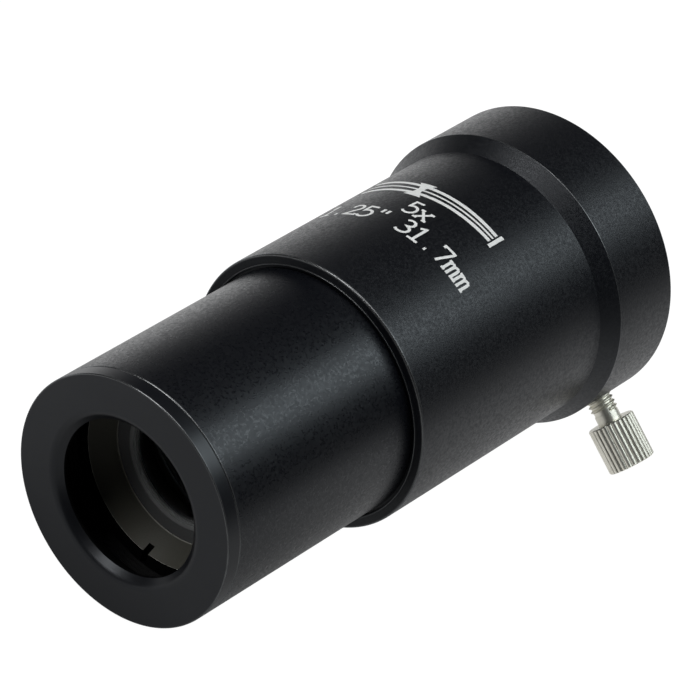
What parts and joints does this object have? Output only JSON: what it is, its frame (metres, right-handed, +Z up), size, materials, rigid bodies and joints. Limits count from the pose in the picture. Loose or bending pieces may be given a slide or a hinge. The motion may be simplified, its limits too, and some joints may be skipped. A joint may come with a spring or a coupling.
{
  "type": "barlow lens",
  "caption": "Telescope barlow lens: threaded lens cell in a slide-in nosepiece, tube body, flared eyepiece socket and thumb screw.",
  "frame": {"origin": "on the optical axis, in the plane of the shoulder where the nosepiece meets the body", "axes": "+X along the optical axis from the nosepiece to the eyepiece socket; +Z up with the lens lying on its side, resting on its collar and the thumb screw's knob"},
  "size_m": [0.0801, 0.0439, 0.0386],
  "materials": {
    "black_anodised_aluminium": "fine bead-blasted, matte black anodised",
    "satin_black_anodised": "fine turned, satin black anodised",
    "blackened_aluminium": "dull black, light-absorbing",
    "coated_glass": "polished, anti-reflection coated",
    "nickel_plated_brass": "bright nickel plate, straight knurl",
    "natural_nylon": "moulded, slightly translucent",
    "white_ink": "pad-printed white ink"
  },
  "bodies": {
    "barrel": {"front_ring": "satin_black_anodised", "nosepiece_tube": "black_anodised_aluminium", "lens_retaining_ring": "blackened_aluminium", "lens_cell": "blackened_aluminium", "flint_element": "coated_glass", "crown_element": "coated_glass", "lens_spacer_ring": "blackened_aluminium", "rear_lens_element": "coated_glass", "main_body": "black_anodised_aluminium"},
    "tip_pad": {"screw_tip_pad": "natural_nylon"},
    "thumb_screw": {"thumb_screw": "nickel_plated_brass"}
  },
  "joints": [
    {"name": "thumb_screw_advance", "type": "slide", "parent": "barrel", "child": "tip_pad", "axis": [0, 0.8028, 0.5962], "range_m": [-0.0015, 0.0033]},
    {"name": "thumb_screw_turn", "type": "hinge", "parent": "tip_pad", "child": "thumb_screw", "pos_m": [0.04335, 0, 0], "axis": [0, 0.8028, 0.5962], "range_deg": [-900.5, 1980.5]}
  ],
  "couplings": [
    {"joint": "thumb_screw_turn", "follows": "thumb_screw_advance", "rad_per_m": 10472}
  ]
}
